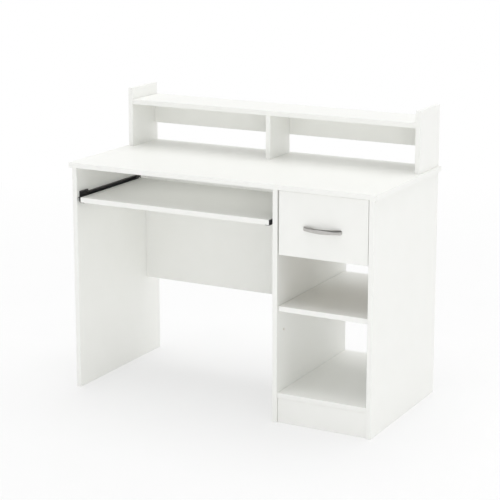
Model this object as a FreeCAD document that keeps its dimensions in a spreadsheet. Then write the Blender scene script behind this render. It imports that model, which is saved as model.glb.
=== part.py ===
"""Student desk: melamine boards, a keyboard tray and a drawer on roller runners, and a low hutch.

Millimetres. +X is right, +Y is to the rear, +Z is up.
The origin is on the floor, under the middle of the desk.
"""
import FreeCAD, Part
import Sketcher
import math
import os
import re

doc = FreeCAD.newDocument("student_desk")

SIZES = {
    # boards of the desk
    "top_width": 1065,
    "top_depth": 500,
    "top_height": 743,
    "board": 16,
    "edge_ease": 0.5,
    "side_overhang": 10,
    "front_overhang": 5,
    "cabinet_width": 297,
    "modesty_setback": 68,
    "modesty_low": 275,
    "kick_height": 79,
    "kick_setback": 6,
    "base_setback": 4,
    # adjustable shelf and its pins
    "shelf_low": 352,
    "shelf_setback": 8,
    "shelf_rear": 16,
    "shelf_play": 1,
    "pin_dia": 5,
    "pin_depth": 9,
    "pin_room": 1,
    "pin_fit": 0.1,
    "pin_inset": 46,
    "pin_step": 64,
    "paddle_width": 10,
    "paddle_reach": 9,
    "paddle_thick": 2.5,
    # hutch
    "hutch_depth": 157,
    "hutch_height": 195,
    "hutch_lip": 38,
    "hutch_setback": 3,
    "rail_height": 80,
    # runners: a channel on the wall, a rail on the moving piece, a roller on each
    "runner_gap": 12.7,
    "runner_clear": 47,
    "runner_hold": 100,
    "gauge": 1.2,
    "channel_low": 8.2,
    "flange_room": 1.5,
    "channel_start": 34,
    "plate_drop": 2,
    "plate_foot": 24,
    "plate_rise": 20,
    "plate_tail": 4,
    "ear_height": 33.5,
    "ear_length": 42,
    "ear_slope": 10,
    "ear_lip": 8,
    "rail_lip": 13,
    "rail_tip": 3,
    "tab_height": 26,
    "tab_length": 22,
    "tab_slope": 18,
    "roller_dia": 15.5,
    "roller_width": 6.5,
    "roller_side": 0.3,
    "roller_fit": 0.05,
    "roller_room": 0.4,
    "roller_inset": 13,
    "axle_dia": 5,
    "axle_fit": 0.1,
    "axle_head": 8,
    "axle_cap": 0.8,
    "axle_play": 0.1,
    "stop_gap": 0.4,
    "stop_room": 1.4,
    "stop_length": 3,
    # keyboard tray
    "tray_drop": 111,
    "tray_extra": 10,
    "tray_setback": 1,
    "tray_channel_setback": 14,
    # drawer
    "drawer_height": 195,
    "drawer_gap": 3,
    "drawer_setback": 2,
    "side_board": 12,
    "box_lift": 14,
    "box_height": 130,
    "box_extra": 2,
    "bottom_board": 3,
    "groove_lift": 8,
    "groove_depth": 6,
    "groove_fit": 0.2,
    "drawer_channel_setback": 2,
    # bow handle and its screws
    "handle_lift": 90,
    "handle_centres": 96,
    "handle_overhang": 15,
    "handle_projection": 22,
    "handle_band": 14,
    "handle_thick": 5,
    "handle_end": 3,
    "foot_reach": 6,
    "handle_corner": 5,
    "handle_bevel": 2.5,
    "screw_dia": 4,
    "screw_fit": 0.3,
    "screw_bite": 7,
    "screw_head": 8,
    "screw_cap": 2.4,
}

sheet = doc.addObject("Spreadsheet::Sheet", "Sizes")
for row, (name, value) in enumerate(SIZES.items(), start=1):
    sheet.set(f"A{row}", name)
    sheet.set(f"B{row}", str(value))
    sheet.setAlias(f"B{row}", name)
doc.recompute()

# For each sketch plane: the model axis of the sketch's own x, its own y, and the axis across the plane.
PLANE_AXES = {"XY_Plane": (0, 1, 2), "XZ_Plane": (0, 2, 1), "YZ_Plane": (1, 2, 0)}
ACROSS_X, ACROSS_Y, ACROSS_Z = "YZ_Plane", "XZ_Plane", "XY_Plane"
START_SPREAD = 50.0

# Places worked out from the sizes. Each is a formula in the sheet's names.
handle_out = "(handle_projection - drawer_setback - front_overhang)"
front = f"(({handle_out} - top_depth) / 2)"
rear = f"({front} + top_depth)"
panel_front = f"({front} + front_overhang)"
panel_depth = "(top_depth - front_overhang)"
under_top = "(top_height - board)"
left_x = "(side_overhang - top_width / 2)"
knee_x = f"({left_x} + board)"
right_x = "(top_width / 2 - side_overhang - board)"
cabinet_x = f"({right_x} - cabinet_width)"
partition_x = f"({cabinet_x} - board)"
knee_width = f"({partition_x} - {knee_x})"
modesty_y = f"({rear} - modesty_setback - board)"
runner_length = f"({modesty_y} - {panel_front} - tray_channel_setback - runner_clear)"
tray_low = f"({under_top} - tray_drop)"
drawer_low = f"({under_top} - drawer_gap - drawer_height)"
hutch_front = f"({rear} - hutch_depth)"
hutch_inner = f"({right_x} - {knee_x})"
hutch_shelf_z = "(top_height + hutch_height - hutch_lip - board)"

bodies = []
corners = {}


def bind(target, prop, formula):
    """Bind a property to a formula in the sheet's names."""
    words = re.sub(r"[a-z_]+", lambda found: f"Sizes.{found.group()}", formula)
    target.setExpression(prop, words)


def new_body(label, corner):
    """An empty body whose own origin stands at the corner."""
    body = doc.addObject("PartDesign::Body", label)
    for axis, formula in zip("xyz", corner):
        bind(body, f"Placement.Base.{axis}", formula)
    bodies.append(body)
    corners[label] = corner
    return body


def new_sketch(body, plane, offset):
    """A sketch across one of the body's axes, offset along that axis."""
    sketch = body.newObject("Sketcher::SketchObject", f"{body.Name}_sketch")
    support = next(item for item in body.Origin.OriginFeatures if item.Role == plane)
    sketch.AttachmentSupport = [(support, "")]
    sketch.MapMode = "FlatFace"
    sign = "-" if plane == ACROSS_Y else ""
    bind(sketch, "AttachmentOffset.Base.z", f"{sign}({offset})")
    return sketch


def locate(sketch, geometry, point, place, start):
    """Hold a point of the sketch at a place from the sketch's origin."""
    for kind, formula, value in zip(("DistanceX", "DistanceY"), place, start):
        index = sketch.addConstraint(Sketcher.Constraint(kind, -1, 1, geometry, point, value))
        bind(sketch, f"Constraints[{index}]", formula)


def draw_outline(sketch, points):
    """A closed outline of straight lines through the points."""
    count = len(points)
    first = sketch.GeometryCount
    turns = [2 * math.pi * step / count for step in range(count)]
    ring = [FreeCAD.Vector(math.cos(turn), math.sin(turn), 0) * START_SPREAD for turn in turns]
    for step in range(count):
        sketch.addGeometry(Part.LineSegment(ring[step], ring[(step + 1) % count]), False)
    for step in range(count):
        after = first + (step + 1) % count
        sketch.addConstraint(Sketcher.Constraint("Coincident", first + step, 2, after, 1))
        locate(sketch, first + step, 1, points[step], (ring[step].x, ring[step].y))


def draw_rectangle(sketch, low, high):
    draw_outline(sketch, [low, (high[0], low[1]), high, (low[0], high[1])])


def draw_circles(sketch, centres, diameter):
    for centre in centres:
        index = sketch.GeometryCount
        start = FreeCAD.Vector(index * START_SPREAD, 0, 0)
        sketch.addGeometry(Part.Circle(start, FreeCAD.Vector(0, 0, 1), START_SPREAD / 4), False)
        locate(sketch, index, 3, centre, (start.x, start.y))
        size = sketch.addConstraint(Sketcher.Constraint("Diameter", index, START_SPREAD / 2))
        bind(sketch, f"Constraints[{size}]", diameter)


def pad(body, sketch, plane, length, forward=True):
    """Add the sketch's area, swept along the plane's axis, forward or backward."""
    feature = body.newObject("PartDesign::Pad", f"{body.Name}_pad")
    feature.Profile = sketch
    feature.Reversed = forward == (plane == ACROSS_Y)
    bind(feature, "Length", length)
    return feature


def pocket(body, sketch, plane, depth, forward=True):
    """Cut the sketch's area, swept along the plane's axis, forward or backward."""
    feature = body.newObject("PartDesign::Pocket", f"{body.Name}_pocket")
    feature.Profile = sketch
    feature.Reversed = forward != (plane == ACROSS_Y)
    bind(feature, "Length", depth)
    return feature


def block(body, low, high):
    """Pad a box between two opposite corners in the body's own frame."""
    sketch = new_sketch(body, ACROSS_Z, low[2])
    draw_rectangle(sketch, low[:2], high[:2])
    return pad(body, sketch, ACROSS_Z, f"({high[2]}) - ({low[2]})")


def ease_edges(body, feature):
    """Break all edges of the feature with a small chamfer."""
    chamfer = body.newObject("PartDesign::Chamfer", f"{body.Name}_eased")
    chamfer.Base = (feature, [""])
    chamfer.UseAllEdges = True
    bind(chamfer, "Size", "edge_ease")


def board(label, plane, corner, size):
    """A board cut to size: its face drawn across its thickness, padded and eased."""
    body = new_body(label, corner)
    across, up, through = PLANE_AXES[plane]
    sketch = new_sketch(body, plane, "0")
    draw_rectangle(sketch, ("0", "0"), (size[across], size[up]))
    ease_edges(body, pad(body, sketch, plane, size[through]))
    return body


def in_plane(body, plane, points):
    """Model points as places in a sketch plane of the body, and the plane's offset in the body."""
    corner = corners[body.Label]
    across, up, through = PLANE_AXES[plane]
    places = []
    for point in points:
        places.append(tuple(f"({point[axis]}) - ({corner[axis]})" for axis in (across, up)))
    return places, f"({points[0][through]}) - ({corner[through]})"


def drill(body, plane, points, diameter, depth, forward):
    """Drill round holes at model points that lie in one face of the body."""
    places, offset = in_plane(body, plane, points)
    sketch = new_sketch(body, plane, offset)
    draw_circles(sketch, places, diameter)
    pocket(body, sketch, plane, depth, forward)


def studs(body, plane, points, diameter, length, forward):
    """Add round studs that start at model points in one plane."""
    places, offset = in_plane(body, plane, points)
    sketch = new_sketch(body, plane, offset)
    draw_circles(sketch, places, diameter)
    pad(body, sketch, plane, length, forward)


# Desk boards

board("desktop", ACROSS_Z, ("-top_width / 2", front, under_top), ("top_width", "top_depth", "board"))

upright = ("board", panel_depth, under_top)
board("left_leg_panel", ACROSS_X, (left_x, panel_front, "0"), upright)
partition = board("centre_partition", ACROSS_X, (partition_x, panel_front, "0"), upright)
right_side = board("right_side_panel", ACROSS_X, (right_x, panel_front, "0"), upright)

board(
    "modesty_panel",
    ACROSS_Y,
    (knee_x, modesty_y, "modesty_low"),
    (knee_width, "board", f"{under_top} - modesty_low"),
)

board(
    "bottom_shelf",
    ACROSS_Z,
    (cabinet_x, f"{panel_front} + base_setback", "kick_height"),
    ("cabinet_width", f"{panel_depth} - base_setback", "board"),
)

board(
    "kick_plate",
    ACROSS_Y,
    (cabinet_x, f"{panel_front} + kick_setback", "0"),
    ("cabinet_width", "board", "kick_height"),
)

# Adjustable shelf, on four pins in two rows of drilled holes

board(
    "adjustable_shelf",
    ACROSS_Z,
    (f"{cabinet_x} + shelf_play", f"{panel_front} + shelf_setback", "shelf_low"),
    ("cabinet_width - 2 * shelf_play", f"{panel_depth} - shelf_setback - shelf_rear", "board"),
)

pin_rows = [f"{panel_front} + pin_inset", f"{rear} - shelf_rear - pin_inset"]
pin_z = "shelf_low - pin_dia / 2"
pin_heights = [pin_z, f"{pin_z} - pin_step"]
pins = new_body("shelf_pins", ("0", "0", "0"))
for wall_body, wall_x, forward in ((partition, cabinet_x, False), (right_side, right_x, True)):
    holes = [(wall_x, row, height) for row in pin_rows for height in pin_heights]
    drill(wall_body, ACROSS_X, holes, "pin_dia + pin_fit", "pin_depth + pin_room", forward)
    shanks = [(wall_x, row, pin_z) for row in pin_rows]
    studs(pins, ACROSS_X, shanks, "pin_dia", "pin_depth", forward)
    reach = f"{wall_x} - paddle_reach" if forward else f"{wall_x} + paddle_reach"
    sides = (reach, wall_x) if forward else (wall_x, reach)
    for row in pin_rows:
        low = (sides[0], f"{row} - paddle_width / 2", "shelf_low - paddle_thick")
        high = (sides[1], f"{row} + paddle_width / 2", "shelf_low")
        block(pins, low, high)

# Hutch

hutch_side = ("board", "hutch_depth", "hutch_height")
board("hutch_left_side", ACROSS_X, (left_x, hutch_front, "top_height"), hutch_side)
board("hutch_right_side", ACROSS_X, (right_x, hutch_front, "top_height"), hutch_side)

board(
    "hutch_divider",
    ACROSS_X,
    ("-board / 2", f"{hutch_front} + hutch_setback", "top_height"),
    ("board", "hutch_depth - hutch_setback - board", f"{hutch_shelf_z} - top_height"),
)

board(
    "hutch_shelf",
    ACROSS_Z,
    (knee_x, f"{hutch_front} + hutch_setback", hutch_shelf_z),
    (hutch_inner, "hutch_depth - hutch_setback", "board"),
)

board(
    "hutch_rail",
    ACROSS_Y,
    (knee_x, f"{rear} - board", f"{hutch_shelf_z} - rail_height"),
    (hutch_inner, "board", "rail_height"),
)

# Roller runners
# Heights are above the underside of the tray or drawer side that the rail carries,
# and the side distance runs from the wall towards the rail.

channel_high = "(channel_low + 2 * gauge + roller_dia + roller_room)"
rail_high = "board"
front_axle_z = f"({rail_high} - gauge - roller_fit - roller_dia / 2)"
rear_axle_z = "(channel_low + gauge + roller_fit + roller_dia / 2)"
rear_axle_y = f"({runner_length} - gauge - stop_gap - roller_dia / 2)"
travel = f"({runner_length} - runner_hold)"
out_stop_y = f"({rear_axle_y} - {travel} - roller_dia / 2 - stop_gap)"
out_stop_height = f"({rail_high} - stop_room - channel_low - 2 * gauge)"
rail_face = "(runner_gap - gauge)"
channel_flange = f"({rail_face} - flange_room)"
plate_length = "(ear_length + ear_slope + plate_tail)"
front_roller_x = "(gauge + roller_side)"
rear_roller_x = f"({rail_face} - roller_side - roller_width)"
front_cap_x = f"({front_roller_x} + roller_width + axle_play)"
rear_cap_x = f"({rear_roller_x} - axle_play)"
channel_axle_steps = [
    ("0", f"({front_cap_x} + axle_cap)", "axle_dia"),
    (front_cap_x, f"({front_cap_x} + axle_cap)", "axle_head"),
]
rail_axle_steps = [
    (f"({rear_cap_x} - axle_cap)", "runner_gap", "axle_dia"),
    (f"({rear_cap_x} - axle_cap)", rear_cap_x, "axle_head"),
]


def make_channel(label, wall, side, low, start):
    """The fixed member: a rolled channel with a front plate, an ear above it and two stops."""
    body = new_body(label, (wall, start, low))
    sketch = new_sketch(body, ACROSS_Y, "channel_start")
    profile = [
        ("0", "channel_low"),
        (channel_flange, "channel_low"),
        (channel_flange, "channel_low + gauge"),
        ("gauge", "channel_low + gauge"),
        ("gauge", f"{channel_high} - gauge"),
        (channel_flange, f"{channel_high} - gauge"),
        (channel_flange, channel_high),
        ("0", channel_high),
    ]
    draw_outline(sketch, [(f"{side} * ({out})", height) for out, height in profile])
    pad(body, sketch, ACROSS_Y, f"{runner_length} - channel_start")

    sketch = new_sketch(body, ACROSS_X, "0")
    plate = [
        ("0", "-plate_drop"),
        ("plate_foot", "-plate_drop"),
        ("plate_foot + plate_rise", "channel_low"),
        (plate_length, "channel_low"),
        (plate_length, channel_high),
        ("ear_length + ear_slope", channel_high),
        ("ear_length", "ear_height"),
        ("0", "ear_height"),
    ]
    draw_outline(sketch, plate)
    pad(body, sketch, ACROSS_X, "gauge", side > 0)

    sketch = new_sketch(body, ACROSS_Z, "ear_height - gauge")
    draw_rectangle(sketch, ("0", "0"), (f"{side} * ear_lip", "ear_length"))
    pad(body, sketch, ACROSS_Z, "gauge")

    sketch = new_sketch(body, ACROSS_Y, f"{runner_length} - gauge")
    draw_rectangle(sketch, ("0", "channel_low"), (f"{side} * {channel_flange}", channel_high))
    pad(body, sketch, ACROSS_Y, "gauge")

    sketch = new_sketch(body, ACROSS_Z, "channel_low + gauge")
    low_corner = (f"{side} * {rear_roller_x}", f"{out_stop_y} - stop_length")
    draw_rectangle(sketch, low_corner, (f"{side} * {channel_flange}", out_stop_y))
    pad(body, sketch, ACROSS_Z, out_stop_height)

    sketch = new_sketch(body, ACROSS_X, "0")
    draw_circles(sketch, [("roller_inset", front_axle_z)], "axle_dia + axle_fit")
    pocket(body, sketch, ACROSS_X, "gauge", side > 0)


def make_rail(label, wall, side, low, start, setback):
    """The moving member: an angle under the board, a running flange and a tab for the rear roller."""
    body = new_body(label, (wall, start, low))
    axle_y = f"({setback} + {rear_axle_y})"
    length = f"({axle_y} + axle_head)"
    sketch = new_sketch(body, ACROSS_Y, "0")
    profile = [
        (rail_face, "-gauge"),
        ("runner_gap + rail_lip", "-gauge"),
        ("runner_gap + rail_lip", "0"),
        ("runner_gap", "0"),
        ("runner_gap", rail_high),
        ("rail_tip", rail_high),
        ("rail_tip", f"{rail_high} - gauge"),
        (rail_face, f"{rail_high} - gauge"),
    ]
    draw_outline(sketch, [(f"{side} * ({out})", height) for out, height in profile])
    pad(body, sketch, ACROSS_Y, length)

    sketch = new_sketch(body, ACROSS_Z, f"{rail_high} - gauge")
    flange_end = f"{axle_y} - roller_dia / 2 - stop_length"
    draw_rectangle(sketch, (f"{side} * rail_tip", flange_end), (f"{side} * {rail_face}", length))
    pocket(body, sketch, ACROSS_Z, "gauge")

    sketch = new_sketch(body, ACROSS_X, f"{side} * {rail_face}")
    tab = [
        (f"{length} - tab_length - tab_slope", rail_high),
        (f"{length} - tab_length - tab_slope", "0"),
        (length, "0"),
        (length, "tab_height"),
        (f"{length} - tab_length", "tab_height"),
    ]
    draw_outline(sketch, tab)
    pad(body, sketch, ACROSS_X, "gauge", side > 0)

    sketch = new_sketch(body, ACROSS_X, f"{side} * {rail_face}")
    draw_circles(sketch, [(axle_y, rear_axle_z)], "axle_dia + axle_fit")
    pocket(body, sketch, ACROSS_X, "gauge", side > 0)


def make_roller(label, x, y, z, side, near):
    """A nylon roller, bored for its axle, whose near face stands off the wall."""
    body = new_body(label, (f"{x} + {side} * ({near} + roller_width / 2)", y, z))
    sketch = new_sketch(body, ACROSS_X, "-roller_width / 2")
    draw_circles(sketch, [("0", "0")], "roller_dia")
    draw_circles(sketch, [("0", "0")], "axle_dia + axle_fit")
    pad(body, sketch, ACROSS_X, "roller_width")


def add_axle(body, x, y, z, side, steps):
    """A riveted axle of round steps, each from one distance off the wall to another."""
    for low, high, diameter in steps:
        place = (f"{x} + {side} * {low}", y, z)
        studs(body, ACROSS_X, [place], diameter, f"{high} - {low}", side > 0)


channel_axles = new_body("channel_axles", ("0", "0", "0"))
tray_axles = new_body("tray_axles", ("0", "0", "0"))
drawer_axles = new_body("drawer_axles", ("0", "0", "0"))

tray_y = f"({panel_front} + tray_setback)"
tray_channel_y = f"({panel_front} + tray_channel_setback)"
drawer_y = f"({panel_front} + drawer_setback)"
box_y = f"({drawer_y} + board)"
box_low = f"({drawer_low} + box_lift)"

for group, walls, low, rail_y, channel_y, rail_axles in (
    ("tray", (knee_x, partition_x), tray_low, tray_y, tray_channel_y, tray_axles),
    ("drawer", (cabinet_x, right_x), box_low, box_y, f"({box_y} + drawer_channel_setback)", drawer_axles),
):
    for hand, wall, side in (("left", walls[0], 1), ("right", walls[1], -1)):
        front_axle = (wall, f"{channel_y} + roller_inset", f"{low} + {front_axle_z}")
        rear_axle = (wall, f"{channel_y} + {rear_axle_y}", f"{low} + {rear_axle_z}")
        make_channel(f"{group}_{hand}_channel", wall, side, low, channel_y)
        make_rail(f"{group}_{hand}_rail", wall, side, low, rail_y, f"({channel_y} - {rail_y})")
        make_roller(f"{group}_{hand}_front_roller", *front_axle, side, front_roller_x)
        make_roller(f"{group}_{hand}_rear_roller", *rear_axle, side, rear_roller_x)
        add_axle(channel_axles, *front_axle, side, channel_axle_steps)
        add_axle(rail_axles, *rear_axle, side, rail_axle_steps)

# Keyboard tray

board(
    "keyboard_tray",
    ACROSS_Z,
    (f"{knee_x} + runner_gap", tray_y, tray_low),
    (f"{knee_width} - 2 * runner_gap", f"{runner_length} + tray_extra", "board"),
)

# Drawer: front, two sides, a back and a thin bottom held in grooves

drawer_front = board(
    "drawer_front",
    ACROSS_Y,
    (f"{cabinet_x} + drawer_gap", drawer_y, drawer_low),
    ("cabinet_width - 2 * drawer_gap", "board", "drawer_height"),
)

box_length = f"({runner_length} + box_extra)"
box_left = f"({cabinet_x} + runner_gap)"
box_right = f"({right_x} - runner_gap)"
inner_left = f"({box_left} + side_board)"
inner_right = f"({box_right} - side_board)"
groove_z = f"({box_low} + groove_lift)"
groove_high = f"({groove_z} + bottom_board + groove_fit)"
drawer_side = ("side_board", box_length, "box_height")
drawer_left = board("drawer_left_side", ACROSS_X, (box_left, box_y, box_low), drawer_side)
drawer_right = board("drawer_right_side", ACROSS_X, (inner_right, box_y, box_low), drawer_side)
for body, face, forward in ((drawer_left, "side_board", False), (drawer_right, "0", True)):
    sketch = new_sketch(body, ACROSS_X, face)
    draw_rectangle(sketch, ("0", "groove_lift"), (box_length, "groove_lift + bottom_board + groove_fit"))
    pocket(body, sketch, ACROSS_X, "groove_depth", forward)

sketch = new_sketch(drawer_front, ACROSS_Y, "board")
groove_left = f"{inner_left} - groove_depth - ({cabinet_x} + drawer_gap)"
groove_right = f"{inner_right} + groove_depth - ({cabinet_x} + drawer_gap)"
groove_low = f"{groove_z} - {drawer_low}"
draw_rectangle(sketch, (groove_left, groove_low), (groove_right, f"{groove_high} - {drawer_low}"))
pocket(drawer_front, sketch, ACROSS_Y, "groove_depth", False)

board(
    "drawer_back",
    ACROSS_Y,
    (inner_left, f"{box_y} + {box_length} - side_board", groove_high),
    (f"{inner_right} - {inner_left}", "side_board", f"{box_low} + box_height - {groove_high}"),
)

bottom = new_body(
    "drawer_bottom",
    (f"{inner_left} - groove_depth + groove_fit", f"{box_y} - groove_depth + groove_fit", groove_z),
)
bottom_width = f"{inner_right} - {inner_left} + 2 * (groove_depth - groove_fit)"
bottom_length = f"{box_length} + groove_depth - groove_fit"
block(bottom, ("0", "0", "0"), (bottom_width, bottom_length, "bottom_board"))

# Bow handle: an arched band that thickens into two feet, held by two screws

handle_x = f"(({cabinet_x} + {right_x}) / 2)"
handle_z = f"({drawer_low} + handle_lift)"
bow_end = "(handle_centres / 2 + handle_overhang)"
bow_foot = "(handle_centres / 2 - foot_reach)"
handle = new_body("drawer_handle", (handle_x, drawer_y, handle_z))


def arch_radius(half_span, rise):
    """The radius of an arch over a span, by the chord rule."""
    return f"((({half_span}) ^ 2 + ({rise}) ^ 2) / (2 * ({rise})))"


def draw_bow(sketch):
    """The handle from above: outer arch, blunt ends, flat feet and the arch of the finger gap."""
    half = SIZES["handle_centres"] / 2 + SIZES["handle_overhang"]
    foot = SIZES["handle_centres"] / 2 - SIZES["foot_reach"]
    crest = FreeCAD.Vector(0, -SIZES["handle_projection"])
    hollow = FreeCAD.Vector(0, SIZES["handle_thick"] - SIZES["handle_projection"])
    left = FreeCAD.Vector(-half, 0)
    left_blunt = FreeCAD.Vector(-half, -SIZES["handle_end"])
    right_blunt = FreeCAD.Vector(half, -SIZES["handle_end"])
    right = FreeCAD.Vector(half, 0)
    right_foot = FreeCAD.Vector(foot, 0)
    left_foot = FreeCAD.Vector(-foot, 0)
    left_end = sketch.addGeometry(Part.LineSegment(left, left_blunt), False)
    outer = sketch.addGeometry(Part.Arc(left_blunt, crest, right_blunt), False)
    right_end = sketch.addGeometry(Part.LineSegment(right_blunt, right), False)
    right_base = sketch.addGeometry(Part.LineSegment(right, right_foot), False)
    inner = sketch.addGeometry(Part.Arc(left_foot, hollow, right_foot), False)
    left_base = sketch.addGeometry(Part.LineSegment(left_foot, left), False)
    for first, first_point, second, second_point in (
        (left_end, 2, outer, 1),
        (outer, 2, right_end, 1),
        (right_end, 2, right_base, 1),
        (right_base, 2, inner, 2),
        (inner, 1, left_base, 1),
        (left_base, 2, left_end, 1),
    ):
        sketch.addConstraint(Sketcher.Constraint("Coincident", first, first_point, second, second_point))
    for index, point, across, up, begin in (
        (left_end, 1, f"-{bow_end}", "0", left),
        (left_end, 2, f"-{bow_end}", "-handle_end", left_blunt),
        (right_end, 1, bow_end, "-handle_end", right_blunt),
        (right_end, 2, bow_end, "0", right),
        (right_base, 2, bow_foot, "0", right_foot),
        (left_base, 1, f"-{bow_foot}", "0", left_foot),
    ):
        locate(sketch, index, point, (across, up), (begin.x, begin.y))
    for index, half_span, rise in (
        (outer, bow_end, "handle_projection - handle_end"),
        (inner, bow_foot, "handle_projection - handle_thick"),
    ):
        radius = sketch.Geometry[index].Radius
        size = sketch.addConstraint(Sketcher.Constraint("Radius", index, radius))
        bind(sketch, f"Constraints[{size}]", arch_radius(half_span, rise))


bow_sketch = new_sketch(handle, ACROSS_Z, "-handle_band / 2")
draw_bow(bow_sketch)
bow = pad(handle, bow_sketch, ACROSS_Z, "handle_band")


def edges_of_length(feature, length):
    """The names of a feature's edges of one length."""
    names = []
    for number, edge in enumerate(feature.Shape.Edges, start=1):
        if math.isclose(edge.Length, length, rel_tol=1e-6):
            names.append(f"Edge{number}")
    return names


doc.recompute()
rounded = handle.newObject("PartDesign::Fillet", "drawer_handle_rounded")
rounded.Base = (bow, edges_of_length(bow, SIZES["handle_end"]))
bind(rounded, "Radius", "handle_corner")
doc.recompute()
longest = max(edge.Length for edge in rounded.Shape.Edges)
bevel = handle.newObject("PartDesign::Chamfer", "drawer_handle_bevelled")
bevel.Base = (rounded, edges_of_length(rounded, longest))
bind(bevel, "Size", "handle_bevel")

screw_xs = [f"{handle_x} - handle_centres / 2", f"{handle_x} + handle_centres / 2"]
on_front = [(x, drawer_y, handle_z) for x in screw_xs]
on_back = [(x, box_y, handle_z) for x in screw_xs]
screw_hole = "screw_dia + screw_fit"
drill(handle, ACROSS_Y, on_front, screw_hole, "screw_bite + screw_fit", False)
drill(drawer_front, ACROSS_Y, on_front, screw_hole, "board", True)
screws = new_body("handle_screws", ("0", "0", "0"))
studs(screws, ACROSS_Y, on_back, "screw_dia", "board + screw_bite", False)
studs(screws, ACROSS_Y, on_back, "screw_head", "screw_cap", True)

# Check every object, then write one file for each sub-part

doc.recompute()
for item in doc.Objects:
    if {"Invalid", "Error"} & set(item.State):
        raise RuntimeError(f"{item.Label} failed: {item.State}")
    if item.TypeId == "PartDesign::Pocket":
        removed = item.BaseFeature.Shape.Volume - item.Shape.Volume
        if removed <= 0:
            raise RuntimeError(f"{item.Label} cuts nothing")
for body in bodies:
    if body.Shape.isNull() or not body.Shape.isValid():
        raise RuntimeError(f"{body.Label} has no valid shape")

os.makedirs("parts", exist_ok=True)
for body in bodies:
    body.Shape.exportStep(f"parts/{body.Label}.step")
    print(body.Label, len(body.Shape.Solids))
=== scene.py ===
import math

import bmesh
import bpy
from mathutils import Matrix, Vector


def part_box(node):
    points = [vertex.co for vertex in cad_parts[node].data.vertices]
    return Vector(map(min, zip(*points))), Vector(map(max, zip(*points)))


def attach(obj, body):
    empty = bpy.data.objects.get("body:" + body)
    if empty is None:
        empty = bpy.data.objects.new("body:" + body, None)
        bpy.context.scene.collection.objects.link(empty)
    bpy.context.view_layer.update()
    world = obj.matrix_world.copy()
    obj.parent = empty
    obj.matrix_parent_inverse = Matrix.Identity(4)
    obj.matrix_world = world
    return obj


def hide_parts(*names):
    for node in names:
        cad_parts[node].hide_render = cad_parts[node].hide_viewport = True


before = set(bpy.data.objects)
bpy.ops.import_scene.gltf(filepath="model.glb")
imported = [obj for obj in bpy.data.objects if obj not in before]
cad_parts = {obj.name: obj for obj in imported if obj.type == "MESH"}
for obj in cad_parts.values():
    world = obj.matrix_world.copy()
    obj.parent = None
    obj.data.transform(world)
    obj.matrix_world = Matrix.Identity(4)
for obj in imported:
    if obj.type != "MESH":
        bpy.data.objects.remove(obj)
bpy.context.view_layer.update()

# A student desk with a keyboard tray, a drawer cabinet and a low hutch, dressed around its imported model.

# Uprights: the left leg, the centre partition and the right side are sawn from 16 mm particle board.
# White melamine paper is pressed on both faces, and a plastic band is glued round the narrow sides,
# trimmed flush and rounded. Holes for shelf pins and for the locks under the top are drilled in.

EDGE_RADIUS = 0.0006
EDGE_STEPS = 3
ROUND = 0.5
BAND_SHOWN = 0.0003
GLUE_LINE = 0.0001
FACE, BAND, GLUE, CORE = range(4)
NOISE_LOW, NOISE_HIGH = 0.3, 0.7
TONE_DETAIL = 3.0
GRAIN_DETAIL = 2.0
GRAIN_ROUGHNESS = 0.6
X, Y, Z = Vector((1, 0, 0)), Vector((0, 1, 0)), Vector((0, 0, 1))


def add_node(tree, kind, values=None, links=None):
    """A node in a tree, with its plain values and the sockets that feed it."""
    node = tree.nodes.new(kind)
    for socket, value in (values or {}).items():
        node.inputs[socket].default_value = value
    for socket, source in (links or {}).items():
        tree.links.new(source, node.inputs[socket])
    return node


def blend_colours(tree, factor, dark, light):
    """A ramp from one colour to another along a pattern."""
    ramp = add_node(tree, "ShaderNodeValToRGB", links={"Fac": factor})
    dark_end, light_end = ramp.color_ramp.elements
    dark_end.color, dark_end.position = (*dark, 1), NOISE_LOW
    light_end.color, light_end.position = (*light, 1), NOISE_HIGH
    return ramp.outputs["Color"]


def surface(name, dark, light, patch, grain, depth, gloss, metallic=0.0, stretch=(1, 1, 1)):
    """A finish with drifting tone, a fine grain in relief and a roughness that follows the grain.

    patch and grain are the sizes of the two patterns and depth the relief, all in metres.
    gloss is the least and the greatest roughness, and stretch draws the grain out along an axis.
    """
    material = bpy.data.materials.new(name)
    material.use_nodes = True
    tree = material.node_tree
    shader = tree.nodes["Principled BSDF"]
    shader.inputs["Metallic"].default_value = metallic
    place = add_node(tree, "ShaderNodeTexCoord").outputs["Object"]
    drawn = add_node(tree, "ShaderNodeMapping", {"Scale": stretch}, {"Vector": place})
    drift = {"Scale": 1 / patch, "Detail": TONE_DETAIL}
    tone = add_node(tree, "ShaderNodeTexNoise", drift, {"Vector": place})
    fine = add_node(
        tree,
        "ShaderNodeTexNoise",
        {"Scale": 1 / grain, "Detail": GRAIN_DETAIL, "Roughness": GRAIN_ROUGHNESS},
        {"Vector": drawn.outputs["Vector"]},
    )
    colour = blend_colours(tree, tone.outputs["Fac"], dark, light)
    tree.links.new(colour, shader.inputs["Base Color"])
    sheen = add_node(
        tree,
        "ShaderNodeMapRange",
        {"From Min": NOISE_LOW, "From Max": NOISE_HIGH, "To Min": gloss[0], "To Max": gloss[1]},
        {"Value": fine.outputs["Fac"]},
    )
    tree.links.new(sheen.outputs["Result"], shader.inputs["Roughness"])
    relief = add_node(
        tree,
        "ShaderNodeBump",
        {"Strength": 1.0, "Distance": depth},
        {"Height": fine.outputs["Fac"]},
    )
    tree.links.new(relief.outputs["Normal"], shader.inputs["Normal"])
    return material


CHIPS_PER_METRE = 900.0
CHIP_DARK, CHIP_LIGHT = (0.36, 0.25, 0.15), (0.62, 0.49, 0.33)
CHIP_RELIEF = 0.0002
CHIP_STRENGTH = 0.8
CHIP_ROUGHNESS = 0.9


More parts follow.
